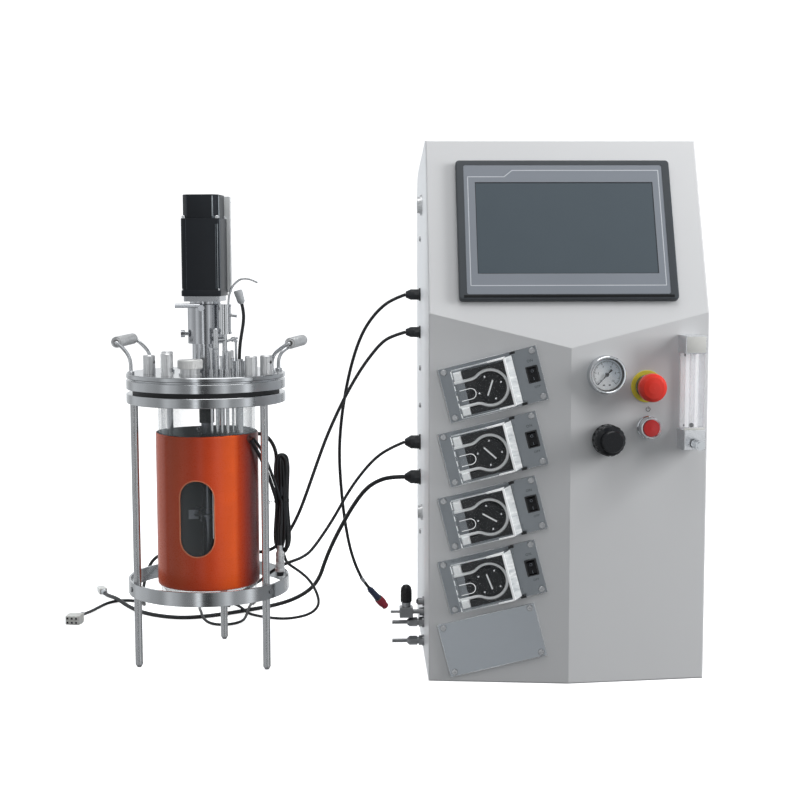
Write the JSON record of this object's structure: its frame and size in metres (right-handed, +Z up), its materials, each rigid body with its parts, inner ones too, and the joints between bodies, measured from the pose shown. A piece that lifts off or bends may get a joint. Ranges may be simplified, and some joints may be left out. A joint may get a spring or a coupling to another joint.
{
  "type": "bench bioreactor",
  "caption": "Bench bioreactor: jacketed glass vessel with top stirrer on a three-legged stand, cabled to an upright control cabinet with touchscreen, tube pumps, gauge and flow meter.",
  "frame": {"origin": "on the bench, at the centre of the base box of the cabinet and the vessel stand, cables left out", "axes": "+X towards the cabinet's right side, +Y away from the operator, +Z up"},
  "size_m": [0.8683, 0.5718, 0.6841],
  "materials": {
    "cabinet_paint": "fine satin powder coat",
    "screen_frame": "fine matte",
    "screen_glass": "satin film over glass",
    "plate_steel": "brushed",
    "black_plastic": "moulded matte",
    "tube_silicone": "translucent silicone and white clamps",
    "rotor_plastic": "moulded",
    "clear_cover": "clear moulded plastic",
    "switch_black": "gloss",
    "screw_steel": "polished",
    "gauge_chrome": "polished",
    "needle_black": "painted",
    "button_rings": "moulded",
    "stop_red": "gloss",
    "stop_stem": "gloss",
    "power_red": "gloss lens",
    "knob_black": "matte",
    "flow_blocks": "machined",
    "flow_chrome": "knurled",
    "flow_acrylic": "clear acrylic",
    "float_black": "gloss",
    "gland_nylon": "nylon",
    "socket_metal": "metal and black plastic",
    "fitting_metal": "machined",
    "stainless": "polished stainless",
    "stainless_flange": "turned stainless",
    "seal_rubber": "matte",
    "borosilicate": "clear",
    "jacket_silicone": "smooth silicone",
    "housing_metal": "turned",
    "motor_paint": "satin black",
    "handle_mix": "polished rod, ribbed grip",
    "cable_pvc": "PVC sheath",
    "connector_mix": "moulded and metal shells",
    "inner_parts": "unseen parts inside"
  },
  "bodies": {
    "bench_unit": {"cabinet_shell": "cabinet_paint", "rear_cover": "cabinet_paint", "cabinet_internals": "inner_parts", "touchscreen_frame": "screen_frame", "panel_glass": "screen_glass", "front_plates": "plate_steel", "pump_heads": "black_plastic", "pump_tubing": "tube_silicone", "switch_bodies": "switch_black", "panel_screws": "screw_steel", "gauge_case": "gauge_chrome", "button_bases": "button_rings", "flow_meter_blocks": "flow_blocks", "flow_meter_body": "flow_acrylic", "cable_glands": "gland_nylon", "wall_sockets": "socket_metal", "side_fittings": "fitting_metal", "stand_legs": "stainless", "stand_rings": "stainless_flange", "clamp_flange": "stainless_flange", "vessel_seal": "seal_rubber", "glass_vessel": "borosilicate", "heating_jacket": "jacket_silicone", "head_plate": "stainless_flange", "head_fittings": "stainless", "drive_housing": "housing_metal", "stirrer_motor": "motor_paint", "probes": "stainless", "exhaust_condenser": "stainless", "lifting_handles": "handle_mix", "electrode_lead": "cable_pvc", "sensor_cable": "cable_pvc", "signal_cable": "cable_pvc", "supply_cable": "cable_pvc", "lead_cable": "cable_pvc", "jacket_lead": "cable_pvc", "jacket_hank": "cable_pvc", "cable_connectors": "connector_mix"},
    "pump_rotor_1_body": {"pump_rotor_1": "rotor_plastic"},
    "pump_cover_1_body": {"pump_cover_1": "clear_cover"},
    "pump_rocker_1_body": {"pump_rocker_1": "switch_black"},
    "pump_rotor_2_body": {"pump_rotor_2": "rotor_plastic"},
    "pump_cover_2_body": {"pump_cover_2": "clear_cover"},
    "pump_rocker_2_body": {"pump_rocker_2": "switch_black"},
    "pump_rotor_3_body": {"pump_rotor_3": "rotor_plastic"},
    "pump_cover_3_body": {"pump_cover_3": "clear_cover"},
    "pump_rocker_3_body": {"pump_rocker_3": "switch_black"},
    "pump_rotor_4_body": {"pump_rotor_4": "rotor_plastic"},
    "pump_cover_4_body": {"pump_cover_4": "clear_cover"},
    "pump_rocker_4_body": {"pump_rocker_4": "switch_black"},
    "gauge_needle_body": {"gauge_needle": "needle_black"},
    "regulator_knob_body": {"regulator_knob": "knob_black"},
    "estop_plunger_body": {"estop_plunger": "stop_stem"},
    "estop_head_body": {"estop_head": "stop_red"},
    "power_cap_body": {"power_cap": "power_red"},
    "flow_float_body": {"flow_float": "float_black"},
    "flow_knob_body": {"flow_knob": "flow_chrome"},
    "valve_knob_body": {"valve_knob": "knob_black"},
    "stirrer_body": {"stirrer": "stainless"},
    "port_cap_body": {"port_cap": "stainless"}
  },
  "joints": [
    {"name": "pump_rotor_1_spin", "type": "hinge", "parent": "bench_unit", "child": "pump_rotor_1_body", "pos_m": [0.10338, -0.16772, 0.37507], "axis": [-0.1096, -0.994, 0], "continuous": true},
    {"name": "pump_cover_1_hinge", "type": "hinge", "parent": "bench_unit", "child": "pump_cover_1_body", "pos_m": [0.13814, -0.16612, 0.38596], "axis": [-0.2472, 0.0273, 0.9686], "range_deg": [0, 90]},
    {"name": "pump_rocker_1_tilt", "type": "hinge", "parent": "bench_unit", "child": "pump_rocker_1_body", "pos_m": [0.1562, -0.16469, 0.39104], "axis": [0.9627, -0.1062, 0.2487], "range_deg": [-16, 0]},
    {"name": "pump_rotor_2_spin", "type": "hinge", "parent": "bench_unit", "child": "pump_rotor_2_body", "pos_m": [0.10338, -0.16772, 0.29437], "axis": [-0.1096, -0.994, 0], "continuous": true},
    {"name": "pump_cover_2_hinge", "type": "hinge", "parent": "bench_unit", "child": "pump_cover_2_body", "pos_m": [0.13814, -0.16612, 0.30526], "axis": [-0.2472, 0.0273, 0.9686], "range_deg": [0, 90]},
    {"name": "pump_rocker_2_tilt", "type": "hinge", "parent": "bench_unit", "child": "pump_rocker_2_body", "pos_m": [0.1562, -0.16469, 0.31034], "axis": [0.9627, -0.1062, 0.2487], "range_deg": [-16, 0]},
    {"name": "pump_rotor_3_spin", "type": "hinge", "parent": "bench_unit", "child": "pump_rotor_3_body", "pos_m": [0.10338, -0.16772, 0.21367], "axis": [-0.1096, -0.994, 0], "continuous": true},
    {"name": "pump_cover_3_hinge", "type": "hinge", "parent": "bench_unit", "child": "pump_cover_3_body", "pos_m": [0.13814, -0.16612, 0.22456], "axis": [-0.2472, 0.0273, 0.9686], "range_deg": [0, 90]},
    {"name": "pump_rocker_3_tilt", "type": "hinge", "parent": "bench_unit", "child": "pump_rocker_3_body", "pos_m": [0.1562, -0.16469, 0.22964], "axis": [0.9627, -0.1062, 0.2487], "range_deg": [-16, 0]},
    {"name": "pump_rotor_4_spin", "type": "hinge", "parent": "bench_unit", "child": "pump_rotor_4_body", "pos_m": [0.10338, -0.16772, 0.13297], "axis": [-0.1096, -0.994, 0], "continuous": true},
    {"name": "pump_cover_4_hinge", "type": "hinge", "parent": "bench_unit", "child": "pump_cover_4_body", "pos_m": [0.13814, -0.16612, 0.14386], "axis": [-0.2472, 0.0273, 0.9686], "range_deg": [0, 90]},
    {"name": "pump_rocker_4_tilt", "type": "hinge", "parent": "bench_unit", "child": "pump_rocker_4_body", "pos_m": [0.1562, -0.16469, 0.14894], "axis": [0.9627, -0.1062, 0.2487], "range_deg": [-16, 0]},
    {"name": "gauge_needle_turn", "type": "hinge", "parent": "bench_unit", "child": "gauge_needle_body", "pos_m": [0.24723, -0.17084, 0.3902], "axis": [0.1096, -0.994, 0], "range_deg": [-270, 0]},
    {"name": "regulator_knob_turn", "type": "hinge", "parent": "bench_unit", "child": "regulator_knob_body", "pos_m": [0.24966, -0.1756, 0.3095], "axis": [0.1096, -0.994, 0], "range_deg": [0, 720]},
    {"name": "estop_press", "type": "slide", "parent": "bench_unit", "child": "estop_plunger_body", "axis": [0.1096, -0.994, 0], "range_m": [-0.004, 0]},
    {"name": "estop_twist", "type": "hinge", "parent": "estop_plunger_body", "child": "estop_head_body", "pos_m": [0.30128, -0.18299, 0.3748], "axis": [0.1096, -0.994, 0], "range_deg": [0, 35]},
    {"name": "power_press", "type": "slide", "parent": "bench_unit", "child": "power_cap_body", "axis": [0.1096, -0.994, 0], "range_m": [-0.003, 0], "stiffness_N_per_m": 300},
    {"name": "flow_float_rise", "type": "slide", "parent": "bench_unit", "child": "flow_float_body", "axis": [0, 0, 1], "range_m": [0, 0.08]},
    {"name": "flow_knob_turn", "type": "hinge", "parent": "bench_unit", "child": "flow_knob_body", "pos_m": [0.3561, -0.19203, 0.3055], "axis": [0.1096, -0.994, 0], "range_deg": [0, 720]},
    {"name": "valve_knob_turn", "type": "hinge", "parent": "bench_unit", "child": "valve_knob_body", "pos_m": [0.00412, -0.01836, 0.08], "axis": [0, 0, 1], "range_deg": [0, 720]},
    {"name": "stirrer_spin", "type": "hinge", "parent": "bench_unit", "child": "stirrer_body", "pos_m": [-0.25938, -0.03076, 0.3], "axis": [0, 0, 1], "continuous": true},
    {"name": "port_cap_lift", "type": "slide", "parent": "bench_unit", "child": "port_cap_body", "axis": [0, 0, 1], "range_m": [0, 0.03]}
  ]
}
